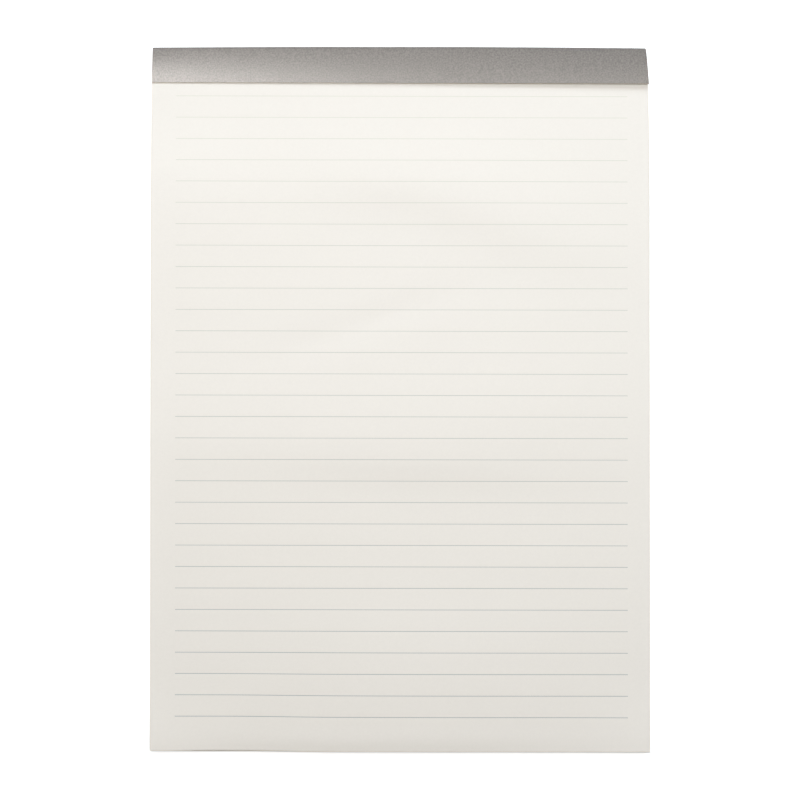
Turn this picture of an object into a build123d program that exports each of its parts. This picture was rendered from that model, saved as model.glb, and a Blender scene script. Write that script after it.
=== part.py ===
"""Ruled writing pad, A4, bound along its head with a folded strip of cover paper.

The pad lies on its back. +Z is up through the sheets, +Y points to the bound head and
+X to the right of the page. The origin is under the middle of the pad, on the surface
that it lies on. All lengths are in millimetres.
"""

from build123d import *
import os
import random

os.makedirs("parts", exist_ok=True)

# Sheets: A4, trimmed on three sides and knocked up square at the head
sheet_width = 210
sheet_length = 297
leaf_thickness = 0.1
leaf_count = 50

# The sides curve in a little towards the glued head, over the last stretch below it
draw_in_length = 70
left_draw_in = 0.65
right_draw_in = 1.45

# Cut edges: a leaf stops short of the widest one by a few of these small steps
edge_step = 0.04
side_steps = 3
foot_steps = 2
# The stack leans back towards the head by this many steps from its lowest leaf to its top one
foot_lean_steps = 6
# The top leaf is a little bowed, so that its foot draws back from the leaf below
top_leaf_recess = 0.3

# Backing board, cut flush with the sheets
board_thickness = 0.8

# Film of padding glue on the head of the stack
glue_thickness = 0.2

# Binding band, one strip of cover paper folded over the head
band_thickness = 0.25
band_front_width = 15.4
band_back_width = 15
# Inner radius of its two folds, less than the glue is thick, so that it clears the sheets' corner
fold_radius = 0.15

# Height of the front flap's free edge above the top sheet, and how far the flap is arched
# half way from its fold to that edge
left_edge_lift = 0.1
middle_edge_lift = 0.5
right_edge_lift = 1.2
left_arch = 0.3
middle_arch = 0.4
right_arch = 0.9

# The band's right end is cut askew: flush with the sheets at the fold, where its corner is
# clipped, and beyond them at the free edge
right_corner_overhang = 0.35
right_clip_along_end = 1.0
right_clip_along_fold = 0.5

# Ruling of the top sheet, as far down as the foot margin allows
line_pitch = 9
line_width = 0.22
line_height = 0.02
first_line_from_head = 20.5
foot_margin = 15
left_margin = 10.6
right_margin = 9.4

# How far a cutting shape runs past what it cuts
overrun = 2

# Levels, from the surface that the pad lies on
board_bottom = band_thickness
board_top = board_bottom + board_thickness
stack_top = board_top + leaf_count * leaf_thickness

# Lines across the pad, seen from above
pad_length = sheet_length + glue_thickness + band_thickness
spine_outside = pad_length / 2
spine_inside = spine_outside - band_thickness
head_edge = spine_inside - glue_thickness
front_edge = spine_outside - band_front_width
back_edge = spine_outside - band_back_width
draw_in_start = head_edge - draw_in_length
draw_in_middle = head_edge - draw_in_length / 2


def draw_sheet(left_inset, right_inset, foot_inset):
    """Draws a sheet seen from above, with its cut edges drawn back by the insets."""
    left_side = -sheet_width / 2 + left_inset
    right_side = sheet_width / 2 - right_inset
    foot_edge = head_edge - sheet_length + foot_inset
    right_curve = Bezier(
        (right_side, draw_in_start),
        (right_side, draw_in_middle),
        (right_side - right_draw_in, head_edge),
    )
    left_curve = Bezier(
        (left_side + left_draw_in, head_edge),
        (left_side, draw_in_middle),
        (left_side, draw_in_start),
    )
    Line(right_curve @ 1, left_curve @ 0)
    Polyline(left_curve @ 1, (left_side, foot_edge), (right_side, foot_edge), right_curve @ 0)


# Page block: the leaves, gummed into one solid, with their cut edges a little uneven
random_steps = random.Random(7)

with BuildPart() as page_block:
    for leaf in range(leaf_count):
        left_inset = random_steps.randint(0, side_steps) * edge_step
        right_inset = random_steps.randint(0, side_steps) * edge_step
        foot_lean = foot_lean_steps * leaf // leaf_count
        foot_inset = (foot_lean + random_steps.randint(0, foot_steps)) * edge_step
        if leaf == leaf_count - 1:
            foot_inset += top_leaf_recess
        with BuildSketch(Plane.XY.offset(board_top + leaf * leaf_thickness)):
            with BuildLine():
                draw_sheet(left_inset, right_inset, foot_inset)
            make_face()
    extrude(amount=leaf_thickness)

page_block.part.label = "page_block"
export_step(page_block.part, "parts/page_block.step")

# Backing board: stiff board under the sheets
with BuildPart() as backing_board:
    with BuildSketch(Plane.XY.offset(board_bottom)):
        with BuildLine():
            draw_sheet(0, 0, 0)
        make_face()
    extrude(amount=board_thickness)

backing_board.part.label = "backing_board"
export_step(backing_board.part, "parts/backing_board.step")

# Padding glue: a film over the heads of the sheets and the board, rounded into the band's folds
glue_height = stack_top - board_bottom
left_head_corner = -sheet_width / 2 + left_draw_in
right_head_corner = sheet_width / 2 - right_draw_in

with BuildPart() as padding_glue:
    with BuildSketch(Plane.YZ.offset(left_head_corner)) as glue_section:
        with Locations((head_edge, board_bottom)):
            Rectangle(glue_thickness, glue_height, align=(Align.MIN, Align.MIN))
        outer_corners = glue_section.vertices().group_by(Axis.X)[-1]
        fillet(outer_corners, radius=fold_radius)
    extrude(amount=right_head_corner - left_head_corner)

padding_glue.part.label = "padding_glue"
export_step(padding_glue.part, "parts/padding_glue.step")

# Binding band: a strip folded over the head, drawn in upright sections across the fold as
# (along the sheet, height), and then cut at its ends
outer_fold_radius = fold_radius + band_thickness
fold_line = spine_inside - fold_radius
flap_middle = (fold_line + front_edge) / 2
band_half_length = sheet_width / 2 + right_corner_overhang + overrun

# Station along the fold, arch of the front flap and lift of its free edge
flap_stations = [
    (-band_half_length, left_arch, left_edge_lift),
    (0, middle_arch, middle_edge_lift),
    (band_half_length, right_arch, right_edge_lift),
]

with BuildPart() as binding_band:
    # Both folds, the spine and the back flap have one section all along the head
    with BuildSketch(Plane.YZ):
        with BuildLine():
            outer_top_fold = RadiusArc(
                (fold_line, stack_top + band_thickness),
                (spine_outside, stack_top - fold_radius),
                outer_fold_radius,
            )
            outer_spine = Line(outer_top_fold @ 1, (spine_outside, board_bottom + fold_radius))
            outer_bottom_fold = RadiusArc(outer_spine @ 1, (fold_line, 0), outer_fold_radius)
            back_underside = Line(outer_bottom_fold @ 1, (back_edge, 0))
            back_end = Line(back_underside @ 1, (back_edge, board_bottom))
            back_inside = Line(back_end @ 1, (fold_line, board_bottom))
            inner_bottom_fold = RadiusArc(
                back_inside @ 1, (spine_inside, board_bottom + fold_radius), -fold_radius
            )
            inner_spine = Line(inner_bottom_fold @ 1, (spine_inside, stack_top - fold_radius))
            inner_top_fold = RadiusArc(inner_spine @ 1, (fold_line, stack_top), -fold_radius)
            Line(inner_top_fold @ 1, outer_top_fold @ 0)
        make_face()
    extrude(amount=band_half_length, both=True)

    # The front flap springs up from the sheets, more and more towards the right
    for station, arch, edge_lift in flap_stations:
        under_side = [
            (fold_line, stack_top),
            (flap_middle, stack_top + arch),
            (front_edge, stack_top + edge_lift),
        ]
        upper_side = [(along, height + band_thickness) for along, height in reversed(under_side)]
        with BuildSketch(Plane.YZ.offset(station)):
            with BuildLine():
                under_curve = Spline(*under_side)
                free_edge = Line(under_curve @ 1, upper_side[0])
                upper_curve = Spline(*upper_side)
                Line(upper_curve @ 1, under_curve @ 0)
            make_face()
    loft()

    # Plan of the strip: its left end is flush with the sheets, and its right end runs from beyond
    # them at the free edge to the sheets' corner, where it is clipped
    draw_in_share = (max(0, front_edge - draw_in_start) / draw_in_length) ** 2
    left_end_free = -sheet_width / 2 + left_draw_in * draw_in_share
    right_end_free = sheet_width / 2 - right_draw_in * draw_in_share + right_corner_overhang
    with BuildSketch():
        with BuildLine():
            Polyline(
                (left_end_free, front_edge - overrun),
                (right_end_free, front_edge - overrun),
                (right_end_free, front_edge),
                (right_head_corner, spine_outside - right_clip_along_end),
                (right_head_corner - right_clip_along_fold, spine_outside),
                (right_head_corner - right_clip_along_fold, spine_outside + overrun),
                (left_head_corner, spine_outside + overrun),
                (left_head_corner, head_edge),
                (left_end_free, front_edge),
                close=True,
            )
        make_face()
    extrude(amount=stack_top + right_edge_lift + overrun, mode=Mode.INTERSECT)

binding_band.part.label = "binding_band"
export_step(binding_band.part, "parts/binding_band.step")

# Ruled lines: the print on the top sheet, a row of thin fields of ink
line_length = sheet_width - left_margin - right_margin
line_middle = (left_margin - right_margin) / 2
ruled_length = sheet_length - first_line_from_head - foot_margin
line_spaces = int(ruled_length / line_pitch)
ruling_middle = head_edge - first_line_from_head - line_spaces * line_pitch / 2

with BuildPart() as ruled_lines:
    with BuildSketch(Plane.XY.offset(stack_top)):
        with Locations((line_middle, ruling_middle)):
            with GridLocations(line_pitch, line_pitch, 1, line_spaces + 1):
                Rectangle(line_length, line_width)
    extrude(amount=line_height)

ruled_lines.part.label = "ruled_lines"
export_step(ruled_lines.part, "parts/ruled_lines.step")
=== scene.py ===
"""Looks of a ruled writing pad that lies on its back, seen from straight above.

All lengths are in metres, in the part's own frame: +Z up through the sheets, +Y towards the
bound head, +X to the right of the page.
"""

import math
import random

import bpy
import numpy as np
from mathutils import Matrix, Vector, noise


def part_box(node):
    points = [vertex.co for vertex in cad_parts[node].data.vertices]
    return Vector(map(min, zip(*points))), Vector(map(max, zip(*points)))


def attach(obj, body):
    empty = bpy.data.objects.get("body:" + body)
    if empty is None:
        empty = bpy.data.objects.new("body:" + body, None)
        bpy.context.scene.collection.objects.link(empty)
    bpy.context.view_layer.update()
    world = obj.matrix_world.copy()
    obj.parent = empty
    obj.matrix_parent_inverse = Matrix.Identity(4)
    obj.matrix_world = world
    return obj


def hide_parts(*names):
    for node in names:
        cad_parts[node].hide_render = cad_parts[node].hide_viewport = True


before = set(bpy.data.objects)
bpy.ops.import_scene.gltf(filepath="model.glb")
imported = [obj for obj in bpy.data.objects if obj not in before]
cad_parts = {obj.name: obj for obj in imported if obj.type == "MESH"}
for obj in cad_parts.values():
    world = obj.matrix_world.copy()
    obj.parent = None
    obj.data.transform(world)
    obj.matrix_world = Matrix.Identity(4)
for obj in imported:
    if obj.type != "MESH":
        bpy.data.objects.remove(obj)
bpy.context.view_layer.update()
scene = bpy.context.scene
scene.view_settings.view_transform = "Standard"

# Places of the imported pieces
block_low, block_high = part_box("page_block")
board_low, board_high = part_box("backing_board")
band_low, band_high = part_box("binding_band")
lines_low, lines_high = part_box("ruled_lines")
left_side = board_low.x
right_side = board_high.x
foot = board_low.y
head = board_high.y
block_bottom = block_low.z
block_top = block_high.z

# Leaves, drawn with the part's own steps
LEAF_COUNT = 50
LEAF_SEED = 7
EDGE_STEP = 0.00004
SIDE_STEPS = 3
FOOT_STEPS = 2
FOOT_LEAN_STEPS = 6
# A leaf is a little thinner than its share of the stack, so that the leaves part at their edges
LEAF_FILL = 0.96
leaf_pitch = (block_top - block_bottom) / LEAF_COUNT
leaf_thickness = leaf_pitch * LEAF_FILL
# Columns and rows of points: the top leaf is finer than the ones below it
TOP_GRID = (90, 240)
LOWER_GRID = (21, 42)

# The sides curve in towards the glued head, more sharply than in the part
LEFT_DRAW_IN = 0.00065
RIGHT_DRAW_IN = 0.00145
DRAW_LENGTH = 0.07
DRAW_POWER = 3

# The head leans back towards its two ends, beyond these distances from the middle
LEFT_BOW = 0.0004
LEFT_BOW_START = 0.03
LEFT_BOW_LENGTH = 0.075
RIGHT_BOW = 0.0006
RIGHT_BOW_START = 0.02
RIGHT_BOW_LENGTH = 0.085
BOW_POWER = 1.5
# How far down the page the lean of the head is felt
BOW_REACH = 0.02

# The foot is cut a little short, more so at the left, and the upper leaves stop shorter still
FOOT_TRIM = 0.0003
LEFT_FOOT_TRIM = 0.0003
LEFT_TRIM_START = 0.03
LEFT_TRIM_LENGTH = 0.035
UPPER_FOOT_TRIM = 0.0003
# The top leaf's foot draws back from the leaf below, but not at the left corner
TOP_LEAF_RECESS = 0.0003
RECESS_START = -0.09
RECESS_LENGTH = 0.01
# The page is drawn towards the head at the left of the foot
FOOT_SHIFT = 0.0004
SHIFT_START = 0.025
SHIFT_LENGTH = 0.05
SHIFT_REACH = 0.06

# Swell of the whole block, free of the band and low along the foot
SWELL_HEIGHT = 0.00025
SWELL_FOOT_SHARE = 0.35
SWELL_FROM_BAND = 0.06
SWELL_FROM_FOOT = 0.006
# The leaves below the top one follow its rise by this share, times this power of their place up the
# stack, which runs from nearly 0 at the board to 1 at the top
FOLLOW_SHARE = 0.9
FOLLOW_POWER = 5

# The top sheet's waves and curled corners start below the band and grow over this length
WAVES_FROM_BAND = 0.05
CURL_HEIGHT = 0.0015
CURL_REACH = 0.035
CURL_LENGTH = 0.045
LEFT_CURL_START = 0.06
LEFT_CURL_WIDTH = 0.05
RIGHT_CURL_START = 0.065
RIGHT_CURL_WIDTH = 0.045
# Its foot droops between the corners
DROOP_DEPTH = 0.0003
DROOP_LENGTH = 0.0065
DROOP_MIDDLE = -0.015
DROOP_HALF_WIDTH = 0.072
DROOP_POWER = 4

# Padding glue
GLUE_THICKNESS = 0.0002
GLUE_COLUMNS = 60
GLUE_ROWS = 10
GLUE_ROUND_ROWS = 5

# Binding band
BAND_THICKNESS = 0.00025
FOLD_RADIUS = 0.00015
# Lift of the flap's free edge and arch of the flap, at the left end, the middle and the right end
EDGE_LIFTS = (0.0001, 0.0005, 0.0012)
ARCHES = (0.0003, 0.0004, 0.0009)
# How much wider the flap is there, since its free edge is cut a little askew
FLAP_WIDENING = (-0.0002, 0.0, 0.0004)
# The right end stands out beyond the sheets at the free edge, and its corner at the fold is clipped
RIGHT_CORNER_OVERHANG = 0.0003
RIGHT_CLIP_ALONG_END = 0.001
RIGHT_CLIP_ALONG_FOLD = 0.0005
BAND_COLUMNS = 480
BAND_ROW_LENGTH = 0.00045
FOLD_ROWS = 5
# Pressed grain: small hills with fine valleys between them
GRAIN_DEPTH = 0.00002
GRAIN_MEAN_SHARE = 0.5
GRAIN_SIZE = (0.0011, 0.0009, 0.0009)
GRAIN_SHARE = 0.5
FINE_GRAIN_SIZE = (0.0005, 0.0006, 0.0005)
FINE_GRAIN_SHARE = 0.25
# The cut at the free edge slants, so that the light core shows below the dark skin
CUT_SLANT = 0.00022
# Painted shade darkens the skin on the spine and the folds, and over these lengths from the folds and
# from the left end and the free edge
FOLD_SHADE_LENGTH = 0.0008
END_SHADE_LENGTH = 0.0004

# Ruling
LINE_PITCH = 0.009
LINE_WIDTH = 0.00022
LINE_HEIGHT = 0.00002
LINE_COLUMNS = 80
# The print sits a little askew on the sheet, its left end higher
LINE_SKEW = -0.0013


def smooth_step(value):
    """0 below 0, 1 above 1 and a smooth rise between."""
    value = np.clip(value, 0, 1)
    return value * value * (3 - 2 * value)


def page_place(share_across, share_up):
    """A place on the page, in shares of its half width and half length from its middle."""
    return share_across * right_side, share_up * head


def turned(x, y, centre, turn):
    """Distances along and across a line through the centre, turned from the X axis."""
    along = (x - centre[0]) * math.cos(turn) + (y - centre[1]) * math.sin(turn)
    across = (y - centre[1]) * math.cos(turn) - (x - centre[0]) * math.sin(turn)
    return along, across


def soft_fold(x, y, centre, turn, half_length, half_width, height):
    """A long soft ridge, or a valley where the height is negative."""
    along, across = turned(x, y, centre, turn)
    return height * np.exp(-((along / half_length) ** 2) - (across / half_width) ** 2)


def soft_edge(x, y, centre, turn, half_length, softness, height, tail):
    """A soft step up across a line, which sinks back behind it over the tail's length."""
    along, across = turned(x, y, centre, turn)
    sink = np.exp(-((np.clip(across, 0, None) / tail) ** 2))
    return height * sink / (1 + np.exp(-across / softness)) * np.exp(-((along / half_length) ** 2))


# Steps of the top sheet: centre, turn, half length, softness, height and tail
STEPS = (
    (page_place(0.0, -0.212), -0.05, 0.08, 0.0042, 0.0011, 0.05),
    (page_place(0.0, -0.21), -0.05, 0.04, 0.0013, 0.00016, 0.03),
    (page_place(0.571, -0.148), 0.0, 0.06, 0.007, 0.0005, 0.05),
    (page_place(0.286, 0.486), -0.34, 0.055, 0.0042, 0.0012, 0.045),
    (page_place(-0.1, 0.56), 0.1, 0.035, 0.004, 0.0005, 0.04),
    (page_place(0.114, -0.654), math.pi, 0.06, 0.009, 0.0013, 0.1),
    (page_place(-0.86, 0.75), math.pi, 0.05, 0.008, 0.0013, 0.075),
)
# Its valley and its ridge: centre, turn, half length, half width and height
FOLDS = (
    (page_place(-0.114, 0.223), 0.33, 0.045, 0.006, -0.0003),
    (page_place(-0.81, -0.135), 0.0, 0.05, 0.036, 0.0007),
)


def swell(y):
    """How far the block swells above a flat stack."""
    from_band = smooth_step((band_low.y - y) / SWELL_FROM_BAND)
    from_foot = smooth_step((y - foot) / SWELL_FROM_FOOT)
    return SWELL_HEIGHT * from_band * (SWELL_FOOT_SHARE + (1 - SWELL_FOOT_SHARE) * from_foot)


def corner_curl(x, y):
    """How far the two corners at the foot curl up."""
    reach = smooth_step((foot + CURL_REACH - y) / CURL_LENGTH)
    at_left = smooth_step((-x - LEFT_CURL_START) / LEFT_CURL_WIDTH)
    at_right = smooth_step((x - RIGHT_CURL_START) / RIGHT_CURL_WIDTH)
    return CURL_HEIGHT * reach * (at_left + at_right)


def foot_droop(x, y):
    """How far the foot hangs down between its corners."""
    near_foot = smooth_step((foot + DROOP_LENGTH - y) / DROOP_LENGTH)
    from_middle = (x - DROOP_MIDDLE) / DROOP_HALF_WIDTH
    return DROOP_DEPTH * near_foot * np.exp(-(from_middle**DROOP_POWER))


def sheet_rise(x, y):
    """How far the top sheet stands above a flat stack, as a sheet does that has been leafed."""
    from_band = smooth_step((band_low.y - y) / WAVES_FROM_BAND)
    steps = sum(soft_edge(x, y, *step) for step in STEPS)
    folds = sum(soft_fold(x, y, *fold) for fold in FOLDS)
    return swell(y) + from_band * (steps + folds + corner_curl(x, y)) - foot_droop(x, y)


def page_shift(x, y):
    """How far the page is drawn towards the head, only at the left of the foot."""
    at_left = smooth_step((-x - SHIFT_START) / SHIFT_LENGTH)
    return FOOT_SHIFT * at_left * smooth_step((foot + SHIFT_REACH - y) / SHIFT_REACH)


def draw_share(y):
    """How far the sides have run in, as a share of what they do up to the head."""
    return np.clip(1 - (head - y) / DRAW_LENGTH, 0, None) ** DRAW_POWER


def head_bow(x, z):
    """How far the head stands back, more and more towards its ends and up the stack."""
    left_share = np.clip((-x - LEFT_BOW_START) / LEFT_BOW_LENGTH, 0, 1) ** BOW_POWER
    right_share = np.clip((x - RIGHT_BOW_START) / RIGHT_BOW_LENGTH, 0, 1) ** BOW_POWER
    up_share = np.clip((z - block_bottom) / (block_top - block_bottom), 0, 1)
    return (LEFT_BOW * left_share + RIGHT_BOW * right_share) * up_share


def foot_trim(x):
    """How much shorter than in the part the sheets and the board are."""
    return FOOT_TRIM + LEFT_FOOT_TRIM * smooth_step((-x - LEFT_TRIM_START) / LEFT_TRIM_LENGTH)


def mesh_object(name, points, faces, smooth):
    """A mesh object with its smooth faces marked one by one, and sharp edges round the others."""
    mesh = bpy.data.meshes.new(name)
    mesh.from_pydata([tuple(point) for point in points], [], faces)
    mesh.polygons.foreach_set("use_smooth", smooth)
    for face in mesh.polygons:
        if not face.use_smooth:
            for corner in face.loop_indices:
                mesh.edges[mesh.loops[corner].edge_index].use_edge_sharp = True
    mesh.update()
    made = bpy.data.objects.new(name, mesh)
    scene.collection.objects.link(made)
    return made


def slab(upper, lower, first_point):
    """Points, faces and smooth marks of a closed sheet.

    It lies between two grids of points, each of rows, columns and 3 coordinates. Its two faces are
    shaded smooth and its rim is shaded flat.
    """
    rows, columns = upper.shape[:2]
    count = rows * columns
    index = np.arange(count).reshape(rows, columns) + first_point
    corners = (index[:-1, :-1], index[:-1, 1:], index[1:, 1:], index[1:, :-1])
    around = np.stack([corner.ravel() for corner in corners], axis=1)
    faces = around.tolist() + (around[:, ::-1] + count).tolist()
    smooth = [True] * len(faces)
    rim = np.concatenate([index[0, :-1], index[:-1, -1], index[-1, :0:-1], index[:0:-1, 0]])
    rim_next = np.roll(rim, -1)
    faces += np.stack([rim_next, rim, rim + count, rim_next + count], axis=1).tolist()
    smooth += [False] * len(rim)
    points = np.concatenate([upper.reshape(-1, 3), lower.reshape(-1, 3)])
    return points, faces, smooth


class Piece:
    """Collects several closed sheets into one mesh."""

    def __init__(self):
        self.points = []
        self.faces = []
        self.smooth = []
        self.count = 0

    def add(self, upper, lower):
        points, faces, smooth = slab(upper, lower, self.count)
        self.points.append(points)
        self.faces += faces
        self.smooth += smooth
        self.count += len(points)

    def make(self, name):
        return mesh_object(name, np.concatenate(self.points), self.faces, self.smooth)


def leaf_grid(left_inset, right_inset, foot_inset, grid, height, level, shift_share):
    """Points of a leaf's upper face.

    Its sides are drawn in at the head, foot_inset and height are functions of the place, and
    shift_share is how much of the page's shift at the foot it takes part in.
    """
    columns, rows = grid
    share_x, share_y = np.meshgrid(np.linspace(0, 1, columns), np.linspace(0, 1, rows))
    low_side = left_side + left_inset
    high_side = right_side - right_inset
    low_y = foot + foot_inset(low_side + (high_side - low_side) * share_x)
    y = low_y + (head - low_y) * share_y
    low_x = low_side + LEFT_DRAW_IN * draw_share(y)
    high_x = high_side - RIGHT_DRAW_IN * draw_share(y)
    x = low_x + (high_x - low_x) * share_x
    near_head = np.clip(1 - (head - y) / BOW_REACH, 0, 1) ** 2
    moved_y = y + shift_share * page_shift(x, y) - head_bow(x, level) * near_head
    return np.stack([x, moved_y, height(x, y)], axis=2)


def make_leaf(piece, leaf, left_inset, right_inset, lean_inset):
    """Adds one leaf, which follows the top sheet's rise the more the higher it lies."""
    is_top = leaf == LEAF_COUNT - 1
    level = block_bottom + leaf * leaf_pitch + leaf_thickness
    up_share = (leaf + 1) / LEAF_COUNT
    follow_share = 1 if is_top else FOLLOW_SHARE * up_share**FOLLOW_POWER
    shift_share = up_share**2

    def foot_inset(x):
        recess = TOP_LEAF_RECESS * smooth_step((x - RECESS_START) / RECESS_LENGTH) if is_top else 0
        return lean_inset + recess + foot_trim(x) + shift_share * UPPER_FOOT_TRIM

    def height(x, y):
        return level + follow_share * sheet_rise(x, y)

    grid = TOP_GRID if is_top else LOWER_GRID
    upper = leaf_grid(left_inset, right_inset, foot_inset, grid, height, level, shift_share)
    piece.add(upper, upper - np.array([0, 0, leaf_thickness]))


def make_sheets():
    """The stack below the top sheet, and the top sheet on a finer grid."""
    steps = random.Random(LEAF_SEED)
    lower_leaves = Piece()
    top_leaf = Piece()
    for leaf in range(LEAF_COUNT):
        left_inset = steps.randint(0, SIDE_STEPS) * EDGE_STEP
        right_inset = steps.randint(0, SIDE_STEPS) * EDGE_STEP
        lean = FOOT_LEAN_STEPS * leaf // LEAF_COUNT
        lean_inset = (lean + steps.randint(0, FOOT_STEPS)) * EDGE_STEP
        piece = top_leaf if leaf == LEAF_COUNT - 1 else lower_leaves
        make_leaf(piece, leaf, left_inset, right_inset, lean_inset)
    return lower_leaves.make("lower_sheets"), top_leaf.make("top_sheet")


def make_board():
    """The backing board, cut flush with the lowest leaf."""

    def height(x, y):
        return board_high.z + 0 * x

    upper = leaf_grid(0, 0, foot_trim, LOWER_GRID, height, board_low.z, 0)
    board = Piece()
    board.add(upper, upper - np.array([0, 0, board_high.z - board_low.z]))
    return board.make("back_board")


def make_lines():
    """The printed rules, thin fields of ink that follow the top sheet."""
    print_lines = Piece()
    count = round((lines_high.y - lines_low.y - LINE_WIDTH) / LINE_PITCH) + 1
    print_level = block_top - leaf_pitch + leaf_thickness + LINE_HEIGHT
    across = np.linspace(lines_low.x, lines_high.x, LINE_COLUMNS)
    for line in range(count):
        low_y = lines_low.y + line * LINE_PITCH
        x, y = np.meshgrid(across, [low_y, low_y + LINE_WIDTH])
        y = y + LINE_SKEW * x
        upper = np.stack([x, y + page_shift(x, y), print_level + sheet_rise(x, y)], axis=2)
        print_lines.add(upper, upper - np.array([0, 0, LINE_HEIGHT]))
    return print_lines.make("printed_lines")


def make_glue():
    """The film of padding glue on the head, rounded into the band's two folds."""
    low = board_low.z
    high = block_top
    round_share = 1 - np.cos(np.linspace(0, math.pi / 2, GLUE_ROUND_ROWS))
    low_round = low + FOLD_RADIUS * round_share
    high_round = high - FOLD_RADIUS * round_share[::-1]
    between = np.linspace(low_round[-1], high_round[0], GLUE_ROWS + 2)[1:-1]
    across = np.linspace(right_side - RIGHT_DRAW_IN, left_side + LEFT_DRAW_IN, GLUE_COLUMNS)
    x, z = np.meshgrid(across, np.concatenate([low_round, between, high_round]))
    past_round = np.maximum(low + FOLD_RADIUS - z, z - high + FOLD_RADIUS)
    into_round = np.clip(past_round, 0, FOLD_RADIUS)
    thickness = GLUE_THICKNESS - FOLD_RADIUS + np.sqrt(FOLD_RADIUS**2 - into_round**2)
    inner_y = head - head_bow(x, z)
    film = Piece()
    film.add(np.stack([x, inner_y + thickness, z], axis=2), np.stack([x, inner_y, z], axis=2))
    return film.make("glue_film")


# Lines of the binding band
spine_out = band_high.y
spine_in = spine_out - BAND_THICKNESS
fold_line = spine_in - FOLD_RADIUS
front_edge = band_low.y
flap_length = fold_line - front_edge
band_width = spine_out - front_edge
spine_height = block_top - BAND_THICKNESS - 2 * FOLD_RADIUS


def along_fold(values, x):
    """The curve through three values, at the left end, the middle and the right end of the band."""
    left, middle, right = values
    station = x / right_side
    return middle + (right - left) / 2 * station + (left + right - 2 * middle) / 2 * station**2


def fold_rows(centre_z, first_turn):
    """Rows round a quarter turn of the band."""
    rows = []
    for row in range(FOLD_ROWS):
        turn = first_turn + math.pi / 2 * row / FOLD_ROWS
        y = fold_line + FOLD_RADIUS * math.cos(turn)
        rows.append(("fold", y, centre_z + FOLD_RADIUS * math.sin(turn), turn))
    return rows


def band_rows():
    """Inner line of the strip from its back flap to its front one, both as wide as the part's front one.

    Each row has the name of its stretch, its y and z, and the turn of its outer side from +Y.
    """
    flap_rows = round(flap_length / BAND_ROW_LENGTH)
    spine_rows = round(spine_height / BAND_ROW_LENGTH)
    spine_bottom = BAND_THICKNESS + FOLD_RADIUS
    rows = []
    for row in range(flap_rows):
        y = front_edge + flap_length * row / flap_rows
        rows.append(("back", y, BAND_THICKNESS, -math.pi / 2))
    rows += fold_rows(spine_bottom, -math.pi / 2)
    for row in range(spine_rows):
        rows.append(("spine", spine_in, spine_bottom + spine_height * row / spine_rows, 0))
    rows += fold_rows(block_top - FOLD_RADIUS, 0)
    for row in range(flap_rows + 1):
        y = fold_line - flap_length * row / flap_rows
        rows.append(("front", y, block_top, math.pi / 2))
    return rows


def band_ends(y):
    """Left and right end of the strip along one row, seen from above."""
    down = (spine_out - y) / band_width
    free_edge_share = draw_share(front_edge)
    low_x = left_side + LEFT_DRAW_IN * (1 - down * (1 - free_edge_share))
    clip_share = RIGHT_CLIP_ALONG_END / band_width
    past_clip = max(0, (down - clip_share) / (1 - clip_share))
    high_x = right_side - RIGHT_DRAW_IN * (1 - past_clip * (1 - free_edge_share))
    high_x += RIGHT_CORNER_OVERHANG * past_clip
    if down < clip_share:
        high_x -= RIGHT_CLIP_ALONG_FOLD * (1 - down / clip_share)
    return low_x, high_x


def inner_row(stretch, x, y, z):
    """Points on the inside of the strip along one row, with the front flap sprung up."""
    if stretch != "front":
        return np.stack([x, y - head_bow(x, z), z + 0 * x], axis=1)
    down = (fold_line - y) / flap_length
    arch = along_fold(ARCHES, x)
    lift = along_fold(EDGE_LIFTS, x)
    height = z + (4 * arch - lift) * down + (2 * lift - 4 * arch) * down * down
    moved_y = y - head_bow(x, z) * (1 - down) - along_fold(FLAP_WIDENING, x) * down
    return np.stack([x, moved_y, height], axis=1)


def row_painted_shade(stretch, x, y):
    """How much painted shade darkens the skin along one row, from 0 to 1."""
    from_fold = max(0, fold_line - y) if stretch in ("front", "back") else 0
    painted_shade = np.maximum(np.exp(-from_fold / FOLD_SHADE_LENGTH), np.exp(-(x - x.min()) / END_SHADE_LENGTH))
    if stretch == "front":
        painted_shade = np.maximum(painted_shade, math.exp(-(y - front_edge) / END_SHADE_LENGTH))
    return painted_shade


def hills(point, size):
    """Smooth noise at a point, with hills of the given size along each axis."""
    return noise.noise(Vector([place / length for place, length in zip(point, size)]))


def grain_depth(point):
    """How deep the embossing is pressed in at a point."""
    grain = hills(point, GRAIN_SIZE)
    fine = hills(point, FINE_GRAIN_SIZE)
    return GRAIN_DEPTH * (GRAIN_MEAN_SHARE - GRAIN_SHARE * grain - FINE_GRAIN_SHARE * fine)


def make_band():
    """The folded strip, a closed sheet with its grain pressed into the outside."""
    inner = []
    outer = []
    painted_shade = []
    for stretch, y, z, turn in band_rows():
        low_x, high_x = band_ends(y)
        # From right to left, so that the faces look outwards
        x = low_x + (high_x - low_x) * np.linspace(1, 0, BAND_COLUMNS)
        outwards = np.array([0, math.cos(turn), math.sin(turn)])
        points = inner_row(stretch, x, y, z)
        skin = points + outwards * BAND_THICKNESS
        depths = np.array([grain_depth(point) for point in skin])
        inner.append(points)
        outer.append(skin - outwards * depths[:, None])
        painted_shade.append(row_painted_shade(stretch, x, y))
    inner[-1][:, 1] -= CUT_SLANT
    band = Piece()
    band.add(np.array(outer), np.array(inner))
    made = band.make("band_strip")
    # The painted shade along the fold and ends, kept on the points for the material
    shade_layer = made.data.attributes.new("painted_shade", "FLOAT", "POINT")
    shade_layer.data.foreach_set("value", np.concatenate(painted_shade + painted_shade))
    return made


lower_sheets, top_sheet = make_sheets()
back_board = make_board()
printed_lines = make_lines()
glue_film = make_glue()
band_strip = make_band()
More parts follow.
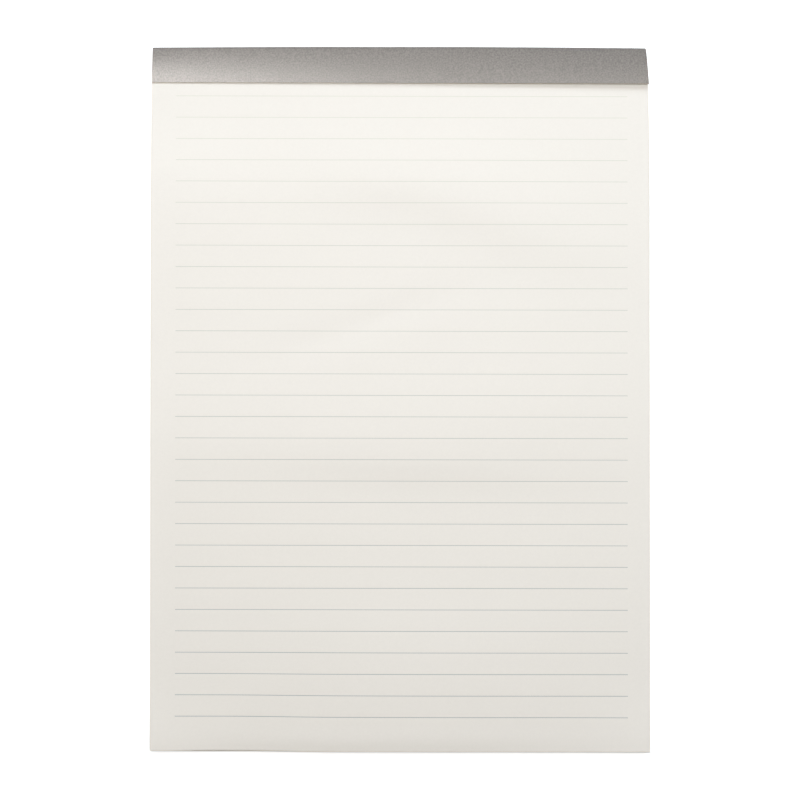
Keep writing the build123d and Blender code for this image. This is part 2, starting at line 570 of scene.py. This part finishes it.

# Colours: a pair holds the two ends of a surface's own variation, and for the ink the two ends of its
# painted light
PAPER_COLOURS = ((0.878, 0.824, 0.757), (0.9, 0.845, 0.777))
# The ink at the foot, and paler at the head with painted light
INK_COLOURS_WITH_PAINTED_LIGHT = ((0.378, 0.395, 0.39), (0.75, 0.73, 0.624))
BAND_COLOURS = ((0.192, 0.173, 0.156), (0.284, 0.256, 0.233))
# Painted shade on the band's spine, folds, left end and free edge, and how strongly it darkens
PAINTED_SHADE_COLOUR = (0.13, 0.115, 0.1)
PAINTED_SHADE_SHARE = 0.33
BAND_CORE_COLOURS = ((0.5, 0.42, 0.33), (0.6, 0.52, 0.42))
KRAFT_COLOURS = ((0.35, 0.21, 0.105), (0.47, 0.3, 0.155))
BOARD_CORE_COLOURS = ((0.24, 0.19, 0.14), (0.37, 0.3, 0.22))
GLUE_COLOURS = ((0.74, 0.73, 0.68), (0.82, 0.81, 0.77))
FLOOR_COLOUR = (0.82, 0.82, 0.82)


def new_material(name, roughness, specular=0.5):
    made = bpy.data.materials.new(name)
    made.use_nodes = True
    shader = made.node_tree.nodes["Principled BSDF"]
    shader.inputs["Roughness"].default_value = roughness
    shader.inputs["Specular IOR Level"].default_value = specular
    return made, made.node_tree, shader


def add_node(tree, kind, links=None, **settings):
    """A shader node with its properties and inputs set by name, and with its inputs linked."""
    made = tree.nodes.new(kind)
    for key, value in settings.items():
        if hasattr(made, key):
            setattr(made, key, value)
        else:
            made.inputs[key.replace("_", " ")].default_value = value
    for socket, source in (links or {}).items():
        tree.links.new(source, made.inputs[socket])
    return made


def object_coordinates(tree, scale=(1, 1, 1)):
    """Coordinates in metres, stretched by a scale."""
    place = tree.nodes.new("ShaderNodeTexCoord").outputs["Object"]
    return add_node(tree, "ShaderNodeMapping", {"Vector": place}, Scale=scale).outputs["Vector"]


def noise_field(tree, vector, scale, detail, roughness):
    made = add_node(
        tree, "ShaderNodeTexNoise", {"Vector": vector}, Scale=scale, Detail=detail, Roughness=roughness
    )
    return made.outputs["Fac"]


def two_colours(tree, factor, colours, low=0.3, high=0.7):
    """A mix of two colours by a factor that is spread between low and high."""
    spread = add_node(tree, "ShaderNodeMapRange", {"Value": factor}, From_Min=low, From_Max=high)
    first, second = colours
    mix = add_node(
        tree,
        "ShaderNodeMix",
        {"Factor": spread.outputs["Result"]},
        data_type="RGBA",
        A=(*first, 1),
        B=(*second, 1),
    )
    return mix.outputs["Result"]


def bump(tree, shader, height, distance):
    made = add_node(tree, "ShaderNodeBump", {"Height": height}, Distance=distance, Strength=1.0)
    tree.links.new(made.outputs["Normal"], shader.inputs["Normal"])


def paper_material():
    """Uncoated writing paper: a cloudy sheet with fine fibres."""
    made, tree, shader = new_material("sheet_paper", roughness=0.9, specular=0.25)
    cloud = noise_field(tree, object_coordinates(tree), scale=900, detail=4.0, roughness=0.7)
    tree.links.new(two_colours(tree, cloud, PAPER_COLOURS), shader.inputs["Base Color"])
    along_fibres = object_coordinates(tree, scale=(1, 0.45, 1))
    fibres = noise_field(tree, along_fibres, scale=1900, detail=3.0, roughness=0.65)
    bump(tree, shader, fibres, distance=0.000012)
    return made


def ink_material():
    """Pale grey ink, with painted light that makes it paler towards the head."""
    made, tree, shader = new_material("ruling_ink", roughness=0.8, specular=0.25)
    split = add_node(tree, "ShaderNodeSeparateXYZ", {"Vector": object_coordinates(tree)})
    up_page = split.outputs["Y"]
    # Painted light: the ink pales towards the head
    colour = two_colours(tree, up_page, INK_COLOURS_WITH_PAINTED_LIGHT, low=lines_low.y, high=lines_high.y)
    tree.links.new(colour, shader.inputs["Base Color"])
    return made


def band_material():
    """Grey cover paper with a pressed grain and a soft shine, with painted shade along its fold and
    ends.
    """
    made, tree, shader = new_material("band_cover_paper", roughness=0.27, specular=1.0)
    place = object_coordinates(tree)
    mottle = noise_field(tree, place, scale=1500, detail=2.0, roughness=0.7)
    colour = two_colours(tree, mottle, BAND_COLOURS, low=0.35, high=0.65)
    # Painted shade: the colour darkens along the fold and ends
    painted_shade = add_node(tree, "ShaderNodeAttribute", attribute_name="painted_shade")
    amount = add_node(tree, "ShaderNodeMath", {0: painted_shade.outputs["Fac"]}, operation="MULTIPLY")
    amount.inputs[1].default_value = PAINTED_SHADE_SHARE
    links = {"Factor": amount.outputs["Value"], "A": colour}
    shaded_colour = add_node(tree, "ShaderNodeMix", links, data_type="RGBA", B=(*PAINTED_SHADE_COLOUR, 1))
    tree.links.new(shaded_colour.outputs["Result"], shader.inputs["Base Color"])
    grain = noise_field(tree, place, scale=2400, detail=2.0, roughness=0.6)
    bump(tree, shader, grain, distance=0.00005)
    return made


def band_core_material():
    """The band's cut edges: the paper's light core, with fibres."""
    made, tree, shader = new_material("band_cut_edge", roughness=0.9)
    fibres = noise_field(tree, object_coordinates(tree), scale=2500, detail=2.0, roughness=0.6)
    tree.links.new(two_colours(tree, fibres, BAND_CORE_COLOURS), shader.inputs["Base Color"])
    return made


def board_material():
    """Kraft-faced board: brown fibres on both faces, a greyer core along the cut edges."""
    made, tree, shader = new_material("kraft_board", roughness=0.85, specular=0.3)
    along_fibres = object_coordinates(tree, scale=(1, 0.4, 1))
    fibres = noise_field(tree, along_fibres, scale=1300, detail=5.0, roughness=0.7)
    along_layers = object_coordinates(tree, scale=(0.05, 0.05, 1))
    layers = noise_field(tree, along_layers, scale=9000, detail=2.0, roughness=0.5)
    normal = tree.nodes.new("ShaderNodeNewGeometry").outputs["True Normal"]
    split = add_node(tree, "ShaderNodeSeparateXYZ", {"Vector": normal})
    flatness = add_node(tree, "ShaderNodeMath", {0: split.outputs["Z"]}, operation="ABSOLUTE")
    links = {
        "Factor": flatness.outputs["Value"],
        "A": two_colours(tree, layers, BOARD_CORE_COLOURS),
        "B": two_colours(tree, fibres, KRAFT_COLOURS),
    }
    mix = add_node(tree, "ShaderNodeMix", links, data_type="RGBA")
    tree.links.new(mix.outputs["Result"], shader.inputs["Base Color"])
    bump(tree, shader, fibres, distance=0.00002)
    return made


def glue_material():
    """Milky padding glue."""
    made, tree, shader = new_material("padding_compound", roughness=0.4)
    blobs = noise_field(tree, object_coordinates(tree), scale=700, detail=2.0, roughness=0.5)
    tree.links.new(two_colours(tree, blobs, GLUE_COLOURS), shader.inputs["Base Color"])
    bump(tree, shader, blobs, distance=0.00003)
    return made


def dress(piece, material):
    piece.data.materials.clear()
    piece.data.materials.append(material)


sheet_paper = paper_material()
dress(top_sheet, sheet_paper)
dress(lower_sheets, sheet_paper)
dress(printed_lines, ink_material())
dress(band_strip, band_material())
dress(back_board, board_material())
dress(glue_film, glue_material())

# The band's flat rim is its cut edge
band_strip.data.materials.append(band_core_material())
for face in band_strip.data.polygons:
    face.material_index = 0 if face.use_smooth else 1

for piece in (top_sheet, lower_sheets, printed_lines, back_board, glue_film, band_strip):
    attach(piece, "root")
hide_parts("page_block")
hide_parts("page_block")
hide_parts("ruled_lines")
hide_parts("binding_band")
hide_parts("backing_board")
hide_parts("padding_glue")

# Camera: nearly straight above, a little towards the foot
PHOTO_WIDTH = 800
PHOTO_PIXELS_PER_METRE = 2379
CAMERA_DISTANCE = 0.95
CAMERA_TILT = math.radians(0.75)
CAMERA_ROLL = 0.0007
SENSOR_WIDTH = 36
# Where it aims, from the middle of the pad
AIM_OFFSET = (-0.00004, -0.00014)

camera_data = bpy.data.cameras.new("camera")
camera = bpy.data.objects.new("camera", camera_data)
scene.collection.objects.link(camera)
scene.camera = camera
camera_data.sensor_width = SENSOR_WIDTH
camera_data.lens = SENSOR_WIDTH * CAMERA_DISTANCE * PHOTO_PIXELS_PER_METRE / PHOTO_WIDTH
aim = Vector((*AIM_OFFSET, block_top))
camera.location = aim + CAMERA_DISTANCE * Vector((0, -math.sin(CAMERA_TILT), math.cos(CAMERA_TILT)))
camera.rotation_euler = (CAMERA_TILT, 0, CAMERA_ROLL)

# Light
WARM = (1.0, 0.95, 0.87)
SOFT_WARM = (1.0, 0.96, 0.92)
COOL = (0.86, 0.94, 1.0)
WINDOW = (0.8, 0.9, 1.0)
LAMP_SIZE = 0.3
KEY_SIZE = 0.2
SIDE_SIZE = 0.4
# Name, place, size, strength and colour. The strength is a share of the light that shows a colour as
# it is written, on a surface that faces the lamp.
LAMPS = (
    ("overhead", (0.0, 0.05, 0.8), LAMP_SIZE, 0.13, WARM),
    ("key", (-0.2, 0.15, 0.75), KEY_SIZE, 0.255, SOFT_WARM),
    ("gloss", (0.14, 0.2, 0.8), LAMP_SIZE, 0.075, SOFT_WARM),
    ("right_fill", (0.6, 0.1, 0.6), SIDE_SIZE, 0.3, COOL),
    ("left_fill", (-0.6, 0.1, 0.6), SIDE_SIZE, 0.186, COOL),
    ("head_window", (0.0, 1.0, 0.5), SIDE_SIZE, 0.61, WINDOW),
    ("foot_fill", (0.0, -0.9, 0.6), SIDE_SIZE, 0.035, WARM),
    ("under_fill", (0.0, -0.5, -1.3), SIDE_SIZE, 0.7, SOFT_WARM),
)


def area_lamp(name, place, size, share, colour):
    """A soft square lamp that faces the middle of the pad."""
    data = bpy.data.lights.new(name, "AREA")
    data.size = size
    data.energy = share * math.pi**2 * Vector(place).length_squared
    data.color = colour
    made = bpy.data.objects.new(name, data)
    made.location = place
    made.rotation_euler = (aim - Vector(place)).to_track_quat("-Z", "Y").to_euler()
    scene.collection.objects.link(made)


for lamp in LAMPS:
    area_lamp(*lamp)

# World: a faint warm fill, and white to the camera
FILL_COLOUR = (1.0, 0.985, 0.96)
FILL_STRENGTH = 0.03


def camera_rays(tree):
    """1 for the rays that the camera sends out, and 0 for all others."""
    return tree.nodes.new("ShaderNodeLightPath").outputs["Is Camera Ray"]


def make_world():
    world = bpy.data.worlds.new("studio")
    scene.world = world
    world.use_nodes = True
    tree = world.node_tree
    fill = tree.nodes["Background"]
    fill.inputs["Color"].default_value = (*FILL_COLOUR, 1)
    fill.inputs["Strength"].default_value = FILL_STRENGTH
    white = add_node(tree, "ShaderNodeBackground", Color=(1.0, 1.0, 1.0, 1), Strength=1.0)
    links = {"Fac": camera_rays(tree), 1: fill.outputs["Background"], 2: white.outputs["Background"]}
    seen = add_node(tree, "ShaderNodeMixShader", links)
    tree.links.new(seen.outputs["Shader"], tree.nodes["World Output"].inputs["Surface"])


make_world()

# Floor: pale, and white to the camera except where the pad shades it
FLOOR_HALF_SIZE = 2.5
GLOW_NEAR = 0.74
GLOW_FAR = 1.0
GLOW_RADIUS_NEAR = 0.2
GLOW_RADIUS_FAR = 0.6


def floor_glow(tree):
    """Light that only the camera sees, weaker round the pad, so that its shadow shows."""
    length = add_node(
        tree, "ShaderNodeVectorMath", {0: object_coordinates(tree)}, operation="LENGTH"
    )
    glow = add_node(
        tree,
        "ShaderNodeMapRange",
        {"Value": length.outputs["Value"]},
        From_Min=GLOW_RADIUS_NEAR,
        From_Max=GLOW_RADIUS_FAR,
        To_Min=GLOW_NEAR,
        To_Max=GLOW_FAR,
    )
    links = {0: glow.outputs["Result"], 1: camera_rays(tree)}
    strength = add_node(tree, "ShaderNodeMath", links, operation="MULTIPLY")
    emission = add_node(tree, "ShaderNodeEmission", {"Strength": strength.outputs["Value"]})
    return emission.outputs["Emission"]


def from_below(tree):
    """1 where the floor is met from below, and for shadow rays, which lets the lamp below through."""
    backfacing = tree.nodes.new("ShaderNodeNewGeometry").outputs["Backfacing"]
    shadow_ray = tree.nodes.new("ShaderNodeLightPath").outputs["Is Shadow Ray"]
    links = {0: backfacing, 1: shadow_ray}
    return add_node(tree, "ShaderNodeMath", links, operation="MAXIMUM").outputs["Value"]


def make_floor():
    """The floor, clear from below so that the pad's back can be looked at."""
    half = FLOOR_HALF_SIZE
    corners = [(-half, -half, 0), (half, -half, 0), (half, half, 0), (-half, half, 0)]
    made = mesh_object("floor", corners, [(0, 1, 2, 3)], [False])
    material, tree, shader = new_material("floor_paper", roughness=0.9, specular=0.0)
    shader.inputs["Base Color"].default_value = (*FLOOR_COLOUR, 1)
    lit = add_node(tree, "ShaderNodeAddShader", {0: shader.outputs["BSDF"], 1: floor_glow(tree)})
    clear = tree.nodes.new("ShaderNodeBsdfTransparent")
    links = {"Fac": from_below(tree), 1: lit.outputs["Shader"], 2: clear.outputs["BSDF"]}
    side = add_node(tree, "ShaderNodeMixShader", links)
    tree.links.new(side.outputs["Shader"], tree.nodes["Material Output"].inputs["Surface"])
    made.data.materials.append(material)


make_floor()
